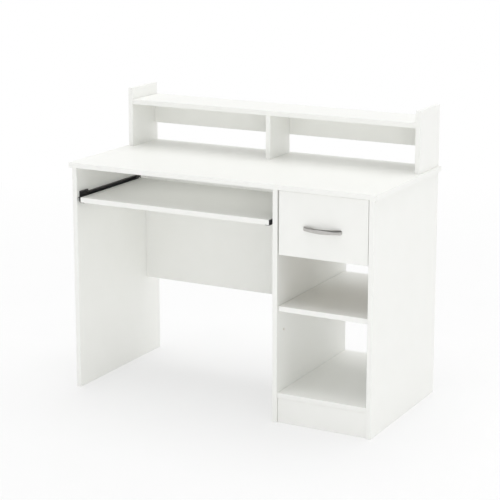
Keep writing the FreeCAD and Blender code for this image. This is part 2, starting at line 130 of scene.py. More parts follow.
def chipboard(name):
    """Raw particle board: pressed chips of mixed tone, as a drill or a saw leaves them."""
    material = bpy.data.materials.new(name)
    material.use_nodes = True
    tree = material.node_tree
    shader = tree.nodes["Principled BSDF"]
    shader.inputs["Roughness"].default_value = CHIP_ROUGHNESS
    place = add_node(tree, "ShaderNodeTexCoord").outputs["Object"]
    chips = add_node(tree, "ShaderNodeTexVoronoi", {"Scale": CHIPS_PER_METRE}, {"Vector": place})
    tone = add_node(tree, "ShaderNodeSeparateColor", links={"Color": chips.outputs["Color"]})
    colour = blend_colours(tree, tone.outputs["Red"], CHIP_DARK, CHIP_LIGHT)
    tree.links.new(colour, shader.inputs["Base Color"])
    relief = add_node(
        tree,
        "ShaderNodeBump",
        {"Strength": CHIP_STRENGTH, "Distance": CHIP_RELIEF},
        {"Height": chips.outputs["Distance"]},
    )
    tree.links.new(relief.outputs["Normal"], shader.inputs["Normal"])
    return material


melamine = surface(
    "white_melamine",
    dark=(0.934, 0.938, 0.906),
    light=(0.944, 0.947, 0.918),
    patch=0.06,
    grain=0.0005,
    depth=0.00001,
    gloss=(0.38, 0.5),
)
edge_band = surface(
    "white_edge_band",
    dark=(0.936, 0.940, 0.910),
    light=(0.945, 0.948, 0.920),
    patch=0.04,
    grain=0.0008,
    depth=0.000008,
    gloss=(0.32, 0.4),
)
glue_line = surface(
    "glue_line",
    dark=(0.60, 0.58, 0.52),
    light=(0.68, 0.66, 0.60),
    patch=0.01,
    grain=0.0004,
    depth=0.00001,
    gloss=(0.6, 0.7),
)
raw_board = chipboard("raw_particle_board")
BOARD_FINISHES = (melamine, edge_band, glue_line, raw_board)


def new_piece(name, shape, finishes):
    """An object from a bmesh, at the origin, with its finishes in slot order."""
    mesh = bpy.data.meshes.new(name)
    shape.to_mesh(mesh)
    shape.free()
    for finish in finishes:
        mesh.materials.append(finish)
    piece = bpy.data.objects.new(name, mesh)
    bpy.context.scene.collection.objects.link(piece)
    return piece


def bake_modifiers(piece):
    """Turn the piece's modifiers into its plain mesh."""
    graph = bpy.context.evaluated_depsgraph_get()
    result = bpy.data.meshes.new_from_object(piece.evaluated_get(graph))
    piece.modifiers.clear()
    piece.data = result


def cut_away(piece, shape, finish=0):
    """Cut a closed shape out of a piece. The cut's walls take the piece's finish of that number."""
    for face in shape.faces:
        face.material_index = finish
    cutter = new_piece("cutter", shape, piece.data.materials)
    cut = piece.modifiers.new("cut", "BOOLEAN")
    cut.operation = "DIFFERENCE"
    cut.solver = "EXACT"
    cut.object = cutter
    bake_modifiers(piece)
    bpy.data.objects.remove(cutter)


def box_shape(low, high):
    """A bmesh box between two corners."""
    size = Vector(high) - Vector(low)
    shape = bmesh.new()
    place = Matrix.Translation((Vector(low) + Vector(high)) / 2) @ Matrix.Diagonal((*size, 1))
    bmesh.ops.create_cube(shape, size=1.0, matrix=place)
    return shape


BORE_STEPS = 32
BORE_OVERRUN = 0.001


def bore_shape(places, inward, diameter, depth, stretch=0.0):
    """A bmesh of round cutters that go in at the places, each drawn out along Y to a slot if stretched."""
    turned = inward.to_track_quat("Z", "Y").to_matrix().to_4x4()
    whole = bmesh.new()
    for place in places:
        middle = Vector(place) + inward * (depth - BORE_OVERRUN) / 2
        cone = bmesh.ops.create_cone(
            whole,
            cap_ends=True,
            segments=BORE_STEPS,
            radius1=diameter / 2,
            radius2=diameter / 2,
            depth=depth + BORE_OVERRUN,
            matrix=Matrix.Translation(middle) @ turned,
        )
        for vertex in cone["verts"]:
            vertex.co.y += math.copysign(stretch / 2, vertex.co.y - middle.y)
    return whole


WIDE_SHARE = 0.9
SQUARE_ON = 0.999


def saw_board(node, body, bores=(), grooves=(), shift=(Vector(), Vector())):
    """A banded board that fills the box of a node, drilled and grooved, and carried by a body.

    bores are (places, inward, diameter, depth) and grooves are (low corner, high corner).
    shift moves the box's low and high corners, where a board is trimmed to its neighbours.
    """
    low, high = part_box(node)
    shape = box_shape(low + shift[0], high + shift[1])
    bmesh.ops.bevel(
        shape,
        geom=shape.edges[:],
        offset=EDGE_RADIUS,
        offset_type="OFFSET",
        segments=EDGE_STEPS,
        profile=ROUND,
        affect="EDGES",
    )
    shape.normal_update()
    widest = max(face.calc_area() for face in shape.faces)
    wide = [face for face in shape.faces if face.calc_area() > WIDE_SHARE * widest]
    for face in shape.faces:
        face.material_index = BAND
        face.smooth = max(map(abs, face.normal)) < SQUARE_ON
    for border, finish in ((BAND_SHOWN, BAND), (GLUE_LINE, GLUE)):
        ring = bmesh.ops.inset_individual(shape, faces=wide, thickness=border)["faces"]
        for face in ring:
            face.material_index = finish
    for face in wide:
        face.material_index = FACE
    board = new_piece(f"{node}_board", shape, BOARD_FINISHES)
    for bore in bores:
        cut_away(board, bore_shape(*bore), CORE)
    for groove in grooves:
        cut_away(board, box_shape(*groove), CORE)
    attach(board, body)
    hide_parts(node)


def inset(node, axis, distance):
    """The two coordinates a distance in from the ends of a node's box along an axis."""
    low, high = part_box(node)
    return low[axis] + distance, high[axis] - distance


def on_face(node, facing, spots):
    """The spots, moved straight onto the face of a node's box that looks one way."""
    low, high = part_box(node)
    axis = max(range(3), key=lambda number: abs(facing[number]))
    level = high[axis] if facing[axis] > 0 else low[axis]
    places = [Vector(spot) for spot in spots]
    for place in places:
        place[axis] = level
    return places


PIN_HOLE = 0.0051
PIN_HOLE_DEPTH = 0.010
PIN_INSET = 0.046
PIN_STEP = 0.064
PIN_DIAMETER = 0.005
LOCK_DIAMETER = 0.015
LOCK_DEPTH = 0.0125
LOCK_REACH = 0.024
LOCK_ROOM = 0.0002
TOP_LOCK_INSET = 0.130

lock_points = {"desk": [], "drawer": []}


def lock_bore(node, body, facing, spots, diameter=LOCK_DIAMETER, depth=LOCK_DEPTH):
    """Note where a board's locks go, and give the bore that takes them."""
    places = on_face(node, facing, spots)
    lock_points[body] += [(place, facing) for place in places]
    return places, -facing, diameter + LOCK_ROOM, depth + LOCK_ROOM


def top_lock_spots(node):
    """Two spots near the top of an upright."""
    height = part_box(node)[1].z - LOCK_REACH
    return [(0, y, height) for y in inset(node, 1, TOP_LOCK_INSET)]


shelf_low, shelf_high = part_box("adjustable_shelf")
pin_rows = (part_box("centre_partition")[0].y + PIN_INSET, shelf_high.y - PIN_INSET)
pin_height = shelf_low.z - PIN_DIAMETER / 2
pin_spots = [(0, row, pin_height - step) for row in pin_rows for step in (0, PIN_STEP)]

saw_board("left_leg_panel", "desk")
for node, facing in (("centre_partition", X), ("right_side_panel", -X)):
    pin_bore = (on_face(node, facing, pin_spots), -facing, PIN_HOLE, PIN_HOLE_DEPTH)
    saw_board(node, "desk", [pin_bore, lock_bore(node, "desk", facing, top_lock_spots(node))])

# Cross boards: the modesty panel, the bottom shelf and the kick plate tie the uprights together.
# They are the same banded board, cut to fit between the uprights, the kick plate with a slight joint.
# Locks near their ends pull them tight, let into the rear and lower faces, where they hardly show.

LOCK_MARGIN = 0.070
JOINT = 0.0008

modesty_spots = [
    (x, 0, z)
    for x in inset("modesty_panel", 0, LOCK_REACH)
    for z in inset("modesty_panel", 2, LOCK_MARGIN)
]
base_spots = [
    (x, y, 0)
    for x in inset("bottom_shelf", 0, LOCK_REACH)
    for y in inset("bottom_shelf", 1, LOCK_MARGIN)
]
kick_middle = sum(inset("kick_plate", 2, 0)) / 2
kick_spots = [(x, 0, kick_middle) for x in inset("kick_plate", 0, LOCK_REACH)]
saw_board("modesty_panel", "desk", [lock_bore("modesty_panel", "desk", Y, modesty_spots)])
saw_board("bottom_shelf", "desk", [lock_bore("bottom_shelf", "desk", -Z, base_spots)])
kick_bore = lock_bore("kick_plate", "desk", Y, kick_spots)
saw_board("kick_plate", "desk", [kick_bore], shift=(X * JOINT, Z * -JOINT))

# Desktop: one banded board that lies on the uprights.
# It overhangs them at both ends and a little at the front, and is locked down from below.

saw_board("desktop", "desk")

# Adjustable shelf: a loose banded board in the cabinet, a little narrower than the opening.
# It lies on four pins and can move to the lower row of holes.

saw_board("adjustable_shelf", "desk")

# Shelf pins: nickel-plated steel, pressed by hand into the drilled holes.
# Each has a round shank in the wall and a flat paddle under the shelf.

PADDLE_WIDTH = 0.010
PADDLE_REACH = 0.009
PADDLE_THICK = 0.0025
PADDLE_ROUND = 0.0005
PIN_DEPTH = 0.009
PIN_TIP_IN = 0.0004
PIN_TIP_LONG = 0.0006
PIN_STEPS = 32
MERGED = 1e-6
CREASE = math.radians(40)

plated_steel = surface(
    "nickel_plated_steel",
    dark=(0.66, 0.65, 0.62),
    light=(0.74, 0.73, 0.71),
    patch=0.004,
    grain=0.0004,
    depth=0.000004,
    gloss=(0.22, 0.34),
    metallic=1.0,
)


def join_shapes(shapes):
    """One bmesh from several."""
    whole = bmesh.new()
    for shape in shapes:
        part = bpy.data.meshes.new("part")
        shape.to_mesh(part)
        shape.free()
        whole.from_mesh(part)
        bpy.data.meshes.remove(part)
    return whole


def turned_shape(profile, steps):
    """A closed shape turned about Z from its half profile of (radius, height) points."""
    shape = bmesh.new()
    rings = []
    for radius, height in profile:
        ring = []
        for step in range(steps):
            angle = 2 * math.pi * step / steps
            ring.append(shape.verts.new((radius * math.cos(angle), radius * math.sin(angle), height)))
        rings.append(ring)
    for ring, after in zip(rings, rings[1:]):
        for step in range(steps):
            beside = (step + 1) % steps
            shape.faces.new((ring[step], ring[beside], after[beside], after[step]))
    bmesh.ops.remove_doubles(shape, verts=shape.verts[:], dist=MERGED)
    bmesh.ops.recalc_face_normals(shape, faces=shape.faces[:])
    soften(shape)
    return shape


def soften(shape):
    """Shade a shape smooth, but for its sharp edges."""
    for face in shape.faces:
        face.smooth = True
    for edge in shape.edges:
        edge.smooth = edge.calc_face_angle(0) < CREASE


def pin_shapes(place, outward):
    """One shelf pin at the wall, its paddle reaching outward along X."""
    radius = PIN_DIAMETER / 2
    tip = [(0, -PIN_DEPTH), (radius - PIN_TIP_IN, -PIN_DEPTH), (radius, -PIN_DEPTH + PIN_TIP_LONG)]
    shank = turned_shape([*tip, (radius, 0), (0, 0)], PIN_STEPS)
    turn = (X * outward).to_track_quat("Z", "Y").to_matrix().to_4x4()
    bmesh.ops.transform(shank, matrix=Matrix.Translation(place) @ turn, verts=shank.verts[:])
    top = place.z + radius
    ends = sorted((place.x, place.x + outward * PADDLE_REACH))
    paddle = box_shape(
        (ends[0], place.y - PADDLE_WIDTH / 2, top - PADDLE_THICK),
        (ends[1], place.y + PADDLE_WIDTH / 2, top),
    )
    bmesh.ops.bevel(
        paddle, geom=paddle.edges[:], offset=PADDLE_ROUND, segments=2, profile=ROUND, affect="EDGES"
    )
    return [shank, paddle]


all_pins = []
for node, facing in (("centre_partition", X), ("right_side_panel", -X)):
    for place in on_face(node, facing, [(0, row, pin_height) for row in pin_rows]):
        all_pins += pin_shapes(place, facing.x)
shelf_pins = new_piece("nickel_shelf_pins", join_shapes(all_pins), [plated_steel])
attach(shelf_pins, "desk")
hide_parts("shelf_pins")

# Hutch: two sides, a divider, a shelf between them and a rail behind, all of the same banded board.
# It stands on the desktop. Its locks are let into the shelf's underside, the divider's left face
# and the rail's rear.

divider_height = inset("hutch_divider", 2, LOCK_REACH)
shelf_middle = sum(inset("hutch_shelf", 1, 0)) / 2
rail_middle = sum(inset("hutch_rail", 2, 0)) / 2
shelf_spots = [(x, shelf_middle, 0) for x in inset("hutch_shelf", 0, LOCK_REACH)]
rail_spots = [(x, 0, rail_middle) for x in inset("hutch_rail", 0, LOCK_REACH)]
divider_spots = [(0, shelf_middle, z) for z in divider_height]
saw_board("hutch_left_side", "desk")
saw_board("hutch_right_side", "desk")
saw_board("hutch_divider", "desk", [lock_bore("hutch_divider", "desk", -X, divider_spots)])
saw_board("hutch_shelf", "desk", [lock_bore("hutch_shelf", "desk", -Z, shelf_spots)])
saw_board("hutch_rail", "desk", [lock_bore("hutch_rail", "desk", Y, rail_spots)])

# Keyboard tray: one banded board across the knee space.
# It is screwed down onto a rail at each side, and slides on the runners.

saw_board("keyboard_tray", "tray")

# Drawer: a banded front, and a box of 12 mm sides and back held to it by small locks.
# The hardboard bottom slides in grooves, lacquered white above and left brown below.

TRIM_LEFT, TRIM_RIGHT, TRIM_TOP = 0.0010, 0.0006, 0.0010
GROOVE_ROOM = 0.0002
GROOVE_RUN = 0.010
FACING_UP = 0.9
SIDE_LOCK_DIAMETER = 0.012
SIDE_LOCK_DEPTH = 0.0095
SIDE_LOCK_MARGIN = 0.040

white_lacquer = surface(
    "white_lacquer",
    dark=(0.88, 0.88, 0.85),
    light=(0.90, 0.90, 0.87),
    patch=0.05,
    grain=0.0006,
    depth=0.00001,
    gloss=(0.3, 0.42),
)
hardboard = surface(
    "brown_hardboard",
    dark=(0.57, 0.52, 0.41),
    light=(0.67, 0.62, 0.51),
    patch=0.02,
    grain=0.0008,
    depth=0.00004,
    gloss=(0.55, 0.8),
    stretch=(1, 0.2, 1),
)

bottom_low, bottom_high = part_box("drawer_bottom")
room = Vector((GROOVE_ROOM, GROOVE_ROOM, GROOVE_ROOM))
groove = (bottom_low - room, bottom_high + room + Y * GROOVE_RUN)
front_trim = (X * TRIM_LEFT, X * TRIM_RIGHT + Z * TRIM_TOP)
saw_board("drawer_front", "drawer", grooves=[groove], shift=front_trim)
for node, facing in (("drawer_left_side", -X), ("drawer_right_side", X)):
    lock_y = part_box(node)[0].y + LOCK_REACH
    side_spots = [(0, lock_y, z) for z in inset(node, 2, SIDE_LOCK_MARGIN)]
    side_bore = lock_bore(node, "drawer", facing, side_spots, SIDE_LOCK_DIAMETER, SIDE_LOCK_DEPTH)
    saw_board(node, "drawer", [side_bore], [groove])
saw_board("drawer_back", "drawer")

bottom_shape = box_shape(bottom_low, bottom_high)
for face in bottom_shape.faces:
    face.material_index = 0 if face.normal.z > FACING_UP else 1
drawer_bottom = new_piece("drawer_bottom_sheet", bottom_shape, [white_lacquer, hardboard])
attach(drawer_bottom, "drawer")
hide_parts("drawer_bottom")

# Runners: a channel on each wall, and a rail under each side of the tray and the drawer.
# They are bent from 1.2 mm steel strip, punched with slots for their screws and coated in black epoxy.

SHEET_ROUND = 0.00025
COPLANAR = math.radians(1)
SHARP = math.radians(30)
SLOT_WIDTH = 0.0045
SLOT_STRETCH = 0.0055
SLOT_DEPTH = 0.003
CHANNEL_SCREWS = (0.060, 0.160, 0.300)
RAIL_SLOTS = (0.030, 0.085, 0.170, 0.250, 0.310)
RAIL_LIP = 0.013

epoxy_steel = surface(
    "black_epoxy_steel",
    dark=(0.016, 0.016, 0.017),
    light=(0.028, 0.028, 0.030),
    patch=0.03,
    grain=0.0006,
    depth=0.00002,
    gloss=(0.36, 0.5),
)


def bend_steel(node, body, slots, inward, stretch=0.0):
    """A runner member: the node's own form with its corners rounded, and holes or slots punched through."""
    shape = bmesh.new()
    shape.from_mesh(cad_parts[node].data)
    bmesh.ops.remove_doubles(shape, verts=shape.verts[:], dist=MERGED)
    bmesh.ops.dissolve_limit(
        shape, angle_limit=COPLANAR, verts=shape.verts[:], edges=shape.edges[:]
    )
    sharp = [edge for edge in shape.edges if edge.calc_face_angle(0) > SHARP]
    bmesh.ops.bevel(shape, geom=sharp, offset=SHEET_ROUND, segments=2, profile=ROUND, affect="EDGES")
    member = new_piece(f"{node}_steel", shape, [epoxy_steel])
    cut_away(member, bore_shape(slots, inward, SLOT_WIDTH, SLOT_DEPTH, stretch))
    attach(member, body)
    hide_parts(node)


CARRIERS = {
    ("tray", "left"): "keyboard_tray",
    ("tray", "right"): "keyboard_tray",
    ("drawer", "left"): "drawer_left_side",
    ("drawer", "right"): "drawer_right_side",
}
GAUGE = 0.0012
screw_points = {"desk": [], "tray": [], "drawer": []}
axle_points = {"desk": [], "tray": [], "drawer": []}

for (group, hand), carrier in CARRIERS.items():
    out = X if hand == "left" else -X
    channel, rail = f"{group}_{hand}_channel", f"{group}_{hand}_rail"
    channel_low, rail_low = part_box(channel)[0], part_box(rail)[0]
    wall = on_face(channel, -out, [(0, 0, 0)])[0].x
    face = on_face(carrier, -out, [(0, 0, 0)])[0].x

    web = wall + out.x * GAUGE
    web_middle = sum(inset(f"{group}_{hand}_rear_roller", 2, 0)) / 2
    holes = [Vector((web, channel_low.y + along, web_middle)) for along in CHANNEL_SCREWS]
    bend_steel(channel, "desk", holes, -out)
    screw_points["desk"] += [(hole, out) for hole in holes]

    lip_middle = face + out.x * RAIL_LIP / 2
    slots = [Vector((lip_middle, rail_low.y + along, rail_low.z)) for along in RAIL_SLOTS]
    bend_steel(rail, group, slots, Z, SLOT_STRETCH)
    screw_points[group] += [(slot, -Z) for slot in slots[::2]]

    for end, body, base, facing in (("front", "desk", wall, out), ("rear", group, face, -out)):
        low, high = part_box(f"{group}_{hand}_{end}_roller")
        middle = (low + high) / 2
        axle_points[body].append((Vector((base, middle.y, middle.z)), facing))

# Rollers: nylon wheels, one at the front of each channel and one at the rear of each rail.
# Each is moulded with a hub, a dished web and a rounded tread, and turns on a riveted steel pin.

ROLLER_STEPS = 48
AXLE_HOLE = 0.00255
HOLE_ROUND = 0.0003
HUB_WALL = 0.0017
HUB_SLOPE = 0.0004
WEB_DISH = 0.0007
RIM_WALL = 0.0011
RIM_SLOPE = 0.0005
RIM_DROP = 0.0002
TREAD_ROUND = ((0.0005, 0.0002), (0.0001, 0.0006), (0.0, 0.0012))

nylon = surface(
    "black_nylon",
    dark=(0.03, 0.03, 0.03),
    light=(0.05, 0.05, 0.05),
    patch=0.004,
    grain=0.0003,
    depth=0.00001,
    gloss=(0.4, 0.55),
)


def roller_profile(width, radius, hole):
    """The closed half profile of a roller as (radius, height) points."""
    half = width / 2
    hub = [(hole, half - HOLE_ROUND), (hole + HOLE_ROUND, half), (hole + HUB_WALL, half)]
    web = [
        (hole + HUB_WALL + HUB_SLOPE, half - WEB_DISH),
        (radius - RIM_WALL - RIM_SLOPE, half - WEB_DISH),
        (radius - RIM_WALL, half - RIM_DROP),
    ]
    tread = [(radius - inward, half - down) for inward, down in TREAD_ROUND]
    one_side = hub + web + tread
    other_side = [(out, -height) for out, height in reversed(one_side)]
    return one_side + other_side + one_side[:1]


for group, hand in CARRIERS:
    for end in ("front", "rear"):
        node = f"{group}_{hand}_{end}_roller"
        low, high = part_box(node)
        profile = roller_profile(high.x - low.x, (high.z - low.z) / 2, AXLE_HOLE)
        shape = turned_shape(profile, ROLLER_STEPS)
        on_side = X.to_track_quat("Z", "Y").to_matrix().to_4x4()
        placed = Matrix.Translation((low + high) / 2) @ on_side
        bmesh.ops.transform(shape, matrix=placed, verts=shape.verts[:])
        roller = new_piece(f"{node}_wheel", shape, [nylon])
        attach(roller, f"{node}_body")
        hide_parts(node)

# Bow handle: a zinc casting plated in satin nickel, brushed along its length.
# An arched band with rounded ends runs down into two feet, which two screws pull against the drawer front.

HANDLE_THICK = 0.005
HANDLE_END = 0.003
HANDLE_CORNER = 0.005
HANDLE_LIP = 0.0025
FOOT_REACH = 0.021
BOW_STATIONS = 64
BOW_RING = 32
FRONT_ROUND = 2.2
BACK_ROUND = 7.0
SIDE_ROUND = 3.0

satin_nickel = surface(
    "satin_nickel",
    dark=(0.50, 0.49, 0.47),
    light=(0.58, 0.57, 0.55),
    patch=0.01,
    grain=0.0002,
    depth=0.000006,
    gloss=(0.22, 0.34),
    metallic=1.0,
    stretch=(0.05, 1, 1),
)


def arch_height(half_span, rise, along):
    """The height of a round arch over its chord."""
    if abs(along) >= half_span:
        return 0.0
    radius = (half_span**2 + rise**2) / (2 * rise)
    return math.sqrt(radius**2 - along**2) - (radius - rise)


def quarter_round(past, radius):
    """How far a rounded corner has fallen back, where the way past its start is given."""
    past = min(max(past, 0.0), radius)
    return radius - math.sqrt(radius**2 - past**2)


def power(value, exponent):
    """A power that keeps the sign."""
    return math.copysign(abs(value) ** exponent, value)


def bow_shape(low, high):
    """The handle: rounded sections from one end to the other, the front fuller than the back."""
    half = (high.x - low.x) / 2
    deep = high.y - low.y
    tall = (high.z - low.z) / 2
    middle = (low + high) / 2
    shape = bmesh.new()
    rings = []
    for station in range(BOW_STATIONS + 1):
        along = half * math.sin(math.pi * (station / BOW_STATIONS - 0.5))
        front = HANDLE_END + arch_height(half, deep - HANDLE_END, along)
        front -= quarter_round(abs(along) - half + HANDLE_LIP, HANDLE_LIP)
        behind = arch_height(half - FOOT_REACH, deep - HANDLE_THICK, along)
        height = tall - quarter_round(abs(along) - half + HANDLE_CORNER, HANDLE_CORNER)
        ring = []
        for step in range(BOW_RING):
            angle = 2 * math.pi * step / BOW_RING
            out, up = math.cos(angle), math.sin(angle)
            depth = power(out, 2 / (FRONT_ROUND if out > 0 else BACK_ROUND))
            y = high.y - (front + behind) / 2 - depth * (front - behind) / 2
            z = middle.z + height * power(up, 2 / SIDE_ROUND)
            ring.append(shape.verts.new((middle.x + along, y, z)))
        rings.append(ring)
    for ring, after in zip(rings, rings[1:]):
        for step in range(BOW_RING):
            beside = (step + 1) % BOW_RING
            shape.faces.new((ring[step], ring[beside], after[beside], after[step]))
    shape.faces.new(rings[0])
    shape.faces.new(rings[-1])
    bmesh.ops.recalc_face_normals(shape, faces=shape.faces[:])
    soften(shape)
    return shape


handle_low, handle_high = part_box("drawer_handle")
handle = new_piece("nickel_bow_handle", bow_shape(handle_low, handle_high), [satin_nickel])
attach(handle, "drawer")
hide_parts("drawer_handle")

# Fasteners: cast zinc cam locks flush in the boards, and white caps over the two in the knee space.
# Flat black screws hold the runners, domed rivets are the rollers' pins, and two screws hold the handle.
# One tree sets each kind on its points, turned at random about its own axis as hand tightening leaves it.

SCREW_DIAMETER = 0.007
SCREW_HEIGHT = 0.0012
CAP_DIAMETER = 0.017
CAP_HEIGHT = 0.0007
AXLE_DIAMETER = 0.008
AXLE_LENGTH = 0.0089
HANDLE_SCREW_DIAMETER = 0.008
HANDLE_SCREW_HEIGHT = 0.0024
HANDLE_CENTRES = 0.096

cast_zinc = surface(
    "cast_zinc",
    dark=(0.42, 0.42, 0.42),
    light=(0.52, 0.52, 0.51),
    patch=0.003,
    grain=0.0004,
    depth=0.00002,
    gloss=(0.4, 0.55),
    metallic=1.0,
)
cap_plastic = surface(
    "white_cap_plastic",
    dark=(0.92, 0.924, 0.892),
    light=(0.93, 0.933, 0.902),
    patch=0.01,
    grain=0.0005,
    depth=0.00001,
    gloss=(0.35, 0.45),
)


def fastener_tree():
    """A tree that sets a fastener of unit size, sized by its inputs, upright on each point's facing."""
    tree = bpy.data.node_groups.new("set_fasteners", "GeometryNodeTree")
    tree.is_modifier = True
    for name, kind in (
        ("Points", "NodeSocketGeometry"),
        ("Fastener", "NodeSocketObject"),
        ("Diameter", "NodeSocketFloat"),
        ("Height", "NodeSocketFloat"),
        ("Turn Seed", "NodeSocketInt"),
        ("Finish", "NodeSocketMaterial"),
    ):
        tree.interface.new_socket(name, in_out="INPUT", socket_type=kind)
    tree.interface.new_socket("Fasteners", in_out="OUTPUT", socket_type="NodeSocketGeometry")
    given = add_node(tree, "NodeGroupInput").outputs
    facing = add_node(tree, "GeometryNodeInputNamedAttribute", {"Name": "facing"})
    facing.data_type = "FLOAT_VECTOR"
    upright = add_node(
        tree, "FunctionNodeAlignRotationToVector", links={"Vector": facing.outputs["Attribute"]}
    )
    upright.axis = "Z"
    float_min, float_max, float_out = 2, 3, 1
    spin = add_node(
        tree, "FunctionNodeRandomValue", {float_min: 0.0, float_max: math.tau}, {"Seed": given["Turn Seed"]}
    )
    turn = add_node(
        tree, "FunctionNodeAxisAngleToRotation", {"Axis": (0, 0, 1)}, {"Angle": spin.outputs[float_out]}
    )
    tightened = add_node(
        tree,
        "FunctionNodeRotateRotation",
        links={"Rotation": upright.outputs["Rotation"], "Rotate By": turn.outputs["Rotation"]},
    )
    tightened.rotation_space = "LOCAL"
    size = add_node(
        tree,
        "ShaderNodeCombineXYZ",
        links={"X": given["Diameter"], "Y": given["Diameter"], "Z": given["Height"]},
    )
    fastener = add_node(tree, "GeometryNodeObjectInfo", links={"Object": given["Fastener"]})
    placed = add_node(
        tree,
        "GeometryNodeInstanceOnPoints",
        links={
            "Points": given["Points"],
            "Instance": fastener.outputs["Geometry"],
            "Rotation": tightened.outputs["Rotation"],
            "Scale": size.outputs["Vector"],
        },
    )
    made = add_node(tree, "GeometryNodeRealizeInstances", links={"Geometry": placed.outputs["Instances"]})
    finished = add_node(
        tree,
        "GeometryNodeSetMaterial",
        links={"Geometry": made.outputs["Geometry"], "Material": given["Finish"]},
    )
    add_node(tree, "NodeGroupOutput", links={"Fasteners": finished.outputs["Geometry"]})
    return tree


# Half profiles of the fasteners, one unit wide and one high, as (radius, height) points.
FASTENER_STEPS = 24
LOCK_RING = [(0.5, -0.05), (0.47, -0.015), (0.41, -0.015), (0.39, -0.05)]
LOCK_PROFILE = [(0, -1), (0.5, -1), *LOCK_RING, (0, -0.05)]
CAP_PROFILE = [(0, 0), (0.5, 0), (0.5, 0.3), (0.47, 0.7), (0.3, 0.95), (0, 1)]
SCREW_PROFILE = [(0, 0), (0.5, 0), (0.5, 0.4), (0.43, 0.8), (0.25, 0.97), (0, 1)]
RIVET_HEAD = [(0.5, 0.91), (0.5, 0.94), (0.4, 0.98), (0.2, 1), (0, 1)]
AXLE_PROFILE = [(0, 0), (0.3125, 0), (0.3125, 0.91), *RIVET_HEAD]
SLOT_ARM = 0.28
SLOT_HALF = 0.06
SLOT_OVERRUN = 0.2
LOCK_SLOT = 0.3
SCREW_SLOT = 0.6


def fastener_shape(name, profile):
    """A fastener of unit size, turned from its half profile."""
    return new_piece(name, turned_shape(profile, FASTENER_STEPS), [cast_zinc])


def cut_cross(fastener, profile, depth):
    """Cut a cross slot for a driver into a fastener's head."""
    top = max(height for _, height in profile)
    for half_x, half_y in ((SLOT_HALF, SLOT_ARM), (SLOT_ARM, SLOT_HALF)):
        low, high = (-half_x, -half_y, top - depth), (half_x, half_y, top + SLOT_OVERRUN)
        cut_away(fastener, box_shape(low, high))


setting = fastener_tree()
lock = fastener_shape("cam_lock", LOCK_PROFILE)
cut_cross(lock, LOCK_PROFILE, LOCK_SLOT)
cap = fastener_shape("cover_cap", CAP_PROFILE)
screw = fastener_shape("flat_screw", SCREW_PROFILE)
cut_cross(screw, SCREW_PROFILE, SCREW_SLOT)
axle = fastener_shape("axle_rivet", AXLE_PROFILE)


def set_fasteners(name, body, points, fastener, diameter, height, finish, slot, seed=1):
    """One mesh of like fasteners, on points given as (place, facing), carried by a body."""
    mesh = bpy.data.meshes.new(name)
    mesh.from_pydata([place for place, _ in points], [], [])
    facings = mesh.attributes.new("facing", "FLOAT_VECTOR", "POINT")
    for item, (_, facing) in zip(facings.data, points):
        item.vector = facing
    piece = bpy.data.objects.new(name, mesh)
    bpy.context.scene.collection.objects.link(piece)
    modifier = piece.modifiers.new("fasteners", "NODES")
    modifier.node_group = setting
    keys = {socket.name: socket.identifier for socket in setting.interface.items_tree}
    modifier[keys["Fastener"]] = fastener
    modifier[keys["Diameter"]] = diameter
    modifier[keys["Height"]] = height
    modifier[keys["Turn Seed"]] = seed
    modifier[keys["Finish"]] = finish
    bake_modifiers(piece)
    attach(piece, body)
    return piece


cap_points = [(place, X) for place in on_face("left_leg_panel", X, top_lock_spots("left_leg_panel"))]
lock_sizes = {"desk": (LOCK_DIAMETER, LOCK_DEPTH), "drawer": (SIDE_LOCK_DIAMETER, SIDE_LOCK_DEPTH)}
for body, size in lock_sizes.items():
    set_fasteners(f"{body}_locks", body, lock_points[body], lock, *size, cast_zinc, "screw_steel")
set_fasteners("knee_lock_caps", "desk", cap_points, cap, CAP_DIAMETER, CAP_HEIGHT, cap_plastic, "melamine")
for body, points in screw_points.items():
    name, size = f"{body}_runner_screws", (SCREW_DIAMETER, SCREW_HEIGHT)
    set_fasteners(name, body, points, screw, *size, epoxy_steel, "runner_steel", seed=5)
for body, node in (("desk", "channel_axles"), ("tray", "tray_axles"), ("drawer", "drawer_axles")):
    name, size = f"{node}_rivets", (AXLE_DIAMETER, AXLE_LENGTH)
    axles = set_fasteners(name, body, axle_points[body], axle, *size, plated_steel, "axle_steel")
    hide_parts(node)
handle_middle = (handle_low + handle_high) / 2
handle_spots = [(handle_middle.x + side * HANDLE_CENTRES / 2, 0, handle_middle.z) for side in (-1, 1)]
handle_points = [(place, Y) for place in on_face("drawer_front", Y, handle_spots)]
handle_screws = set_fasteners(
    "handle_screw_heads",
    "drawer",
    handle_points,
    screw,
    HANDLE_SCREW_DIAMETER,
    HANDLE_SCREW_HEIGHT,
    plated_steel,
    "screw_steel",
    seed=9,
)
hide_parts("handle_screws")
for fastener in (lock, cap, screw, axle):
    bpy.data.objects.remove(fastener)

# Floor: a plain pale studio floor of painted board.
# It takes the desk's soft shadow and runs out to white all round.

FLOOR_HALF = 40.0
FLOOR_COLOURS = (0.894, 0.894, 0.894), (0.906, 0.906, 0.906)
FLOOR_PATCH = 0.35
FLOOR_ROUGHNESS = 0.8
FLOOR_SHEEN = 0.2
SHADOW_REACH = (1.2, 3.5)
NEAR_WHITE = 0.5
PAINTED_SHADE_WHITE = 0.97


def light_path(tree, question):
    """Whether the ray that asks is of one kind."""
    return add_node(tree, "ShaderNodeLightPath").outputs[question]


def larger(tree, first, second):
    """The larger of two values."""
    node = add_node(tree, "ShaderNodeMath", links={0: first, 1: second})
    node.operation = "MAXIMUM"
    return node.outputs["Value"]


def seen_plainly(tree):
    """Whether the eye sees this spot straight, or through something clear."""
    return larger(tree, light_path(tree, "Is Camera Ray"), light_path(tree, "Is Transmission Ray"))


